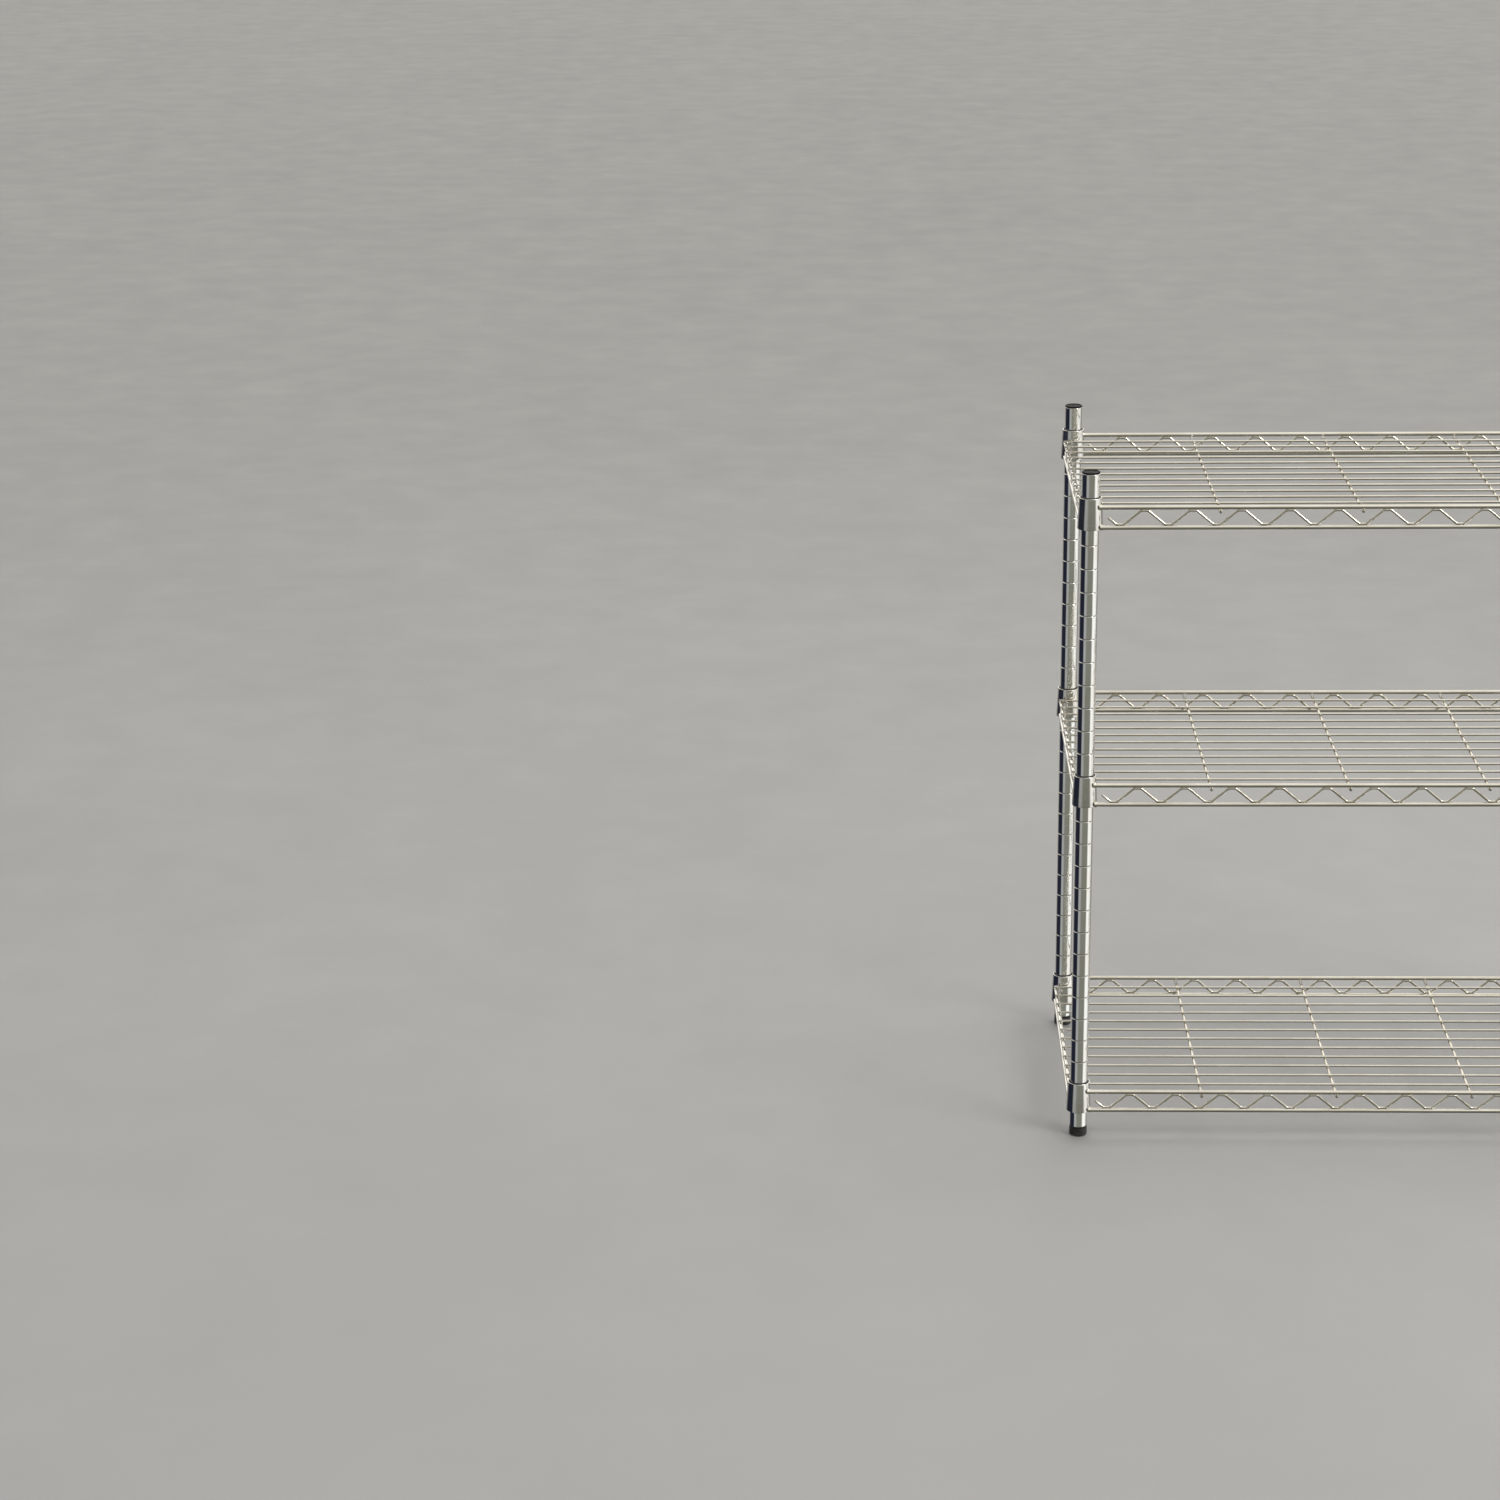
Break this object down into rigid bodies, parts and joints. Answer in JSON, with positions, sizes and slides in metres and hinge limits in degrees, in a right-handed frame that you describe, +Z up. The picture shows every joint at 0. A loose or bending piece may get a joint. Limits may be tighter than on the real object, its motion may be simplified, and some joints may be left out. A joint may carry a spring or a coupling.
{
  "type": "wire shelving unit",
  "caption": "Free-standing chrome wire shelving: grooved tubular posts, welded wire shelves wedged on tapered split sleeves, post caps and screw-in levelling feet.",
  "frame": {"origin": "on the floor, in the middle of the four posts", "axes": "+X along the shelf to the right as seen from the front, +Y from the front to the back, +Z up"},
  "size_m": [0.5902, 0.3422, 0.7509],
  "materials": {
    "post_chrome": "bright chrome plate on steel tube",
    "end_chrome": "bright chrome plate on welded collars and wire",
    "wire_chrome": "chrome plate on welded steel wire",
    "cap_plastic": "black moulded plastic, satin to gloss",
    "sleeve_plastic": "black moulded plastic, satin",
    "insert_plastic": "black moulded plastic, satin",
    "foot_plastic": "black moulded plastic, satin",
    "stud_steel": "zinc-plated threaded stud"
  },
  "bodies": {
    "frame": {"post_front_left": "post_chrome", "post_front_right": "post_chrome", "post_back_left": "post_chrome", "post_back_right": "post_chrome", "cap_front_left": "cap_plastic", "cap_front_right": "cap_plastic", "cap_back_left": "cap_plastic", "cap_back_right": "cap_plastic", "insert_front_left": "insert_plastic", "insert_front_right": "insert_plastic", "insert_back_left": "insert_plastic", "insert_back_right": "insert_plastic", "sleeve_top_front_left_outer": "sleeve_plastic", "sleeve_top_front_left_inner": "sleeve_plastic", "sleeve_top_front_right_outer": "sleeve_plastic", "sleeve_top_front_right_inner": "sleeve_plastic", "sleeve_top_back_left_outer": "sleeve_plastic", "sleeve_top_back_left_inner": "sleeve_plastic", "sleeve_top_back_right_outer": "sleeve_plastic", "sleeve_top_back_right_inner": "sleeve_plastic", "sleeve_middle_front_left_outer": "sleeve_plastic", "sleeve_middle_front_left_inner": "sleeve_plastic", "sleeve_middle_front_right_outer": "sleeve_plastic", "sleeve_middle_front_right_inner": "sleeve_plastic", "sleeve_middle_back_left_outer": "sleeve_plastic", "sleeve_middle_back_left_inner": "sleeve_plastic", "sleeve_middle_back_right_outer": "sleeve_plastic", "sleeve_middle_back_right_inner": "sleeve_plastic", "sleeve_bottom_front_left_outer": "sleeve_plastic", "sleeve_bottom_front_left_inner": "sleeve_plastic", "sleeve_bottom_front_right_outer": "sleeve_plastic", "sleeve_bottom_front_right_inner": "sleeve_plastic", "sleeve_bottom_back_left_outer": "sleeve_plastic", "sleeve_bottom_back_left_inner": "sleeve_plastic", "sleeve_bottom_back_right_outer": "sleeve_plastic", "sleeve_bottom_back_right_inner": "sleeve_plastic"},
    "shelf_top": {"mat_top": "wire_chrome", "truss_front_top": "wire_chrome", "truss_back_top": "wire_chrome", "end_left_top": "end_chrome", "end_right_top": "end_chrome"},
    "shelf_middle": {"mat_middle": "wire_chrome", "truss_front_middle": "wire_chrome", "truss_back_middle": "wire_chrome", "end_left_middle": "end_chrome", "end_right_middle": "end_chrome"},
    "shelf_bottom": {"mat_bottom": "wire_chrome", "truss_front_bottom": "wire_chrome", "truss_back_bottom": "wire_chrome", "end_left_bottom": "end_chrome", "end_right_bottom": "end_chrome"},
    "leveller_front_left": {"stud_front_left": "stud_steel"},
    "leveller_front_right": {"stud_front_right": "stud_steel"},
    "leveller_back_left": {"stud_back_left": "stud_steel"},
    "leveller_back_right": {"stud_back_right": "stud_steel"},
    "leveller_base_front_left": {"foot_front_left": "foot_plastic"},
    "leveller_base_front_right": {"foot_front_right": "foot_plastic"},
    "leveller_base_back_left": {"foot_back_left": "foot_plastic"},
    "leveller_base_back_right": {"foot_back_right": "foot_plastic"}
  },
  "joints": [
    {"name": "shelf_top_lift", "type": "slide", "parent": "frame", "child": "shelf_top", "axis": [0, 0, 1], "range_m": [0, 0.08]},
    {"name": "shelf_middle_lift", "type": "slide", "parent": "frame", "child": "shelf_middle", "axis": [0, 0, 1], "range_m": [0, 0.25]},
    {"name": "shelf_bottom_lift", "type": "slide", "parent": "frame", "child": "shelf_bottom", "axis": [0, 0, 1], "range_m": [0, 0.3]},
    {"name": "leveller_height_front_left", "type": "slide", "parent": "frame", "child": "leveller_front_left", "axis": [0, 0, -1], "range_m": [0, 0.01]},
    {"name": "leveller_turn_front_left", "type": "hinge", "parent": "leveller_front_left", "child": "leveller_base_front_left", "pos_m": [-0.2815, -0.1575, 0.005], "axis": [0, 0, -1], "range_deg": [0, 2880]},
    {"name": "leveller_height_front_right", "type": "slide", "parent": "frame", "child": "leveller_front_right", "axis": [0, 0, -1], "range_m": [0, 0.01]},
    {"name": "leveller_turn_front_right", "type": "hinge", "parent": "leveller_front_right", "child": "leveller_base_front_right", "pos_m": [0.2815, -0.1575, 0.005], "axis": [0, 0, -1], "range_deg": [0, 2880]},
    {"name": "leveller_height_back_left", "type": "slide", "parent": "frame", "child": "leveller_back_left", "axis": [0, 0, -1], "range_m": [0, 0.01]},
    {"name": "leveller_turn_back_left", "type": "hinge", "parent": "leveller_back_left", "child": "leveller_base_back_left", "pos_m": [-0.2815, 0.1575, 0.005], "axis": [0, 0, -1], "range_deg": [0, 2880]},
    {"name": "leveller_height_back_right", "type": "slide", "parent": "frame", "child": "leveller_back_right", "axis": [0, 0, -1], "range_m": [0, 0.01]},
    {"name": "leveller_turn_back_right", "type": "hinge", "parent": "leveller_back_right", "child": "leveller_base_back_right", "pos_m": [0.2815, 0.1575, 0.005], "axis": [0, 0, -1], "range_deg": [0, 2880]}
  ],
  "couplings": [
    {"joint": "leveller_height_front_left", "follows": "leveller_turn_front_left", "m_per_rad": 0.00019894},
    {"joint": "leveller_height_front_right", "follows": "leveller_turn_front_right", "m_per_rad": 0.00019894},
    {"joint": "leveller_height_back_left", "follows": "leveller_turn_back_left", "m_per_rad": 0.00019894},
    {"joint": "leveller_height_back_right", "follows": "leveller_turn_back_right", "m_per_rad": 0.00019894}
  ]
}
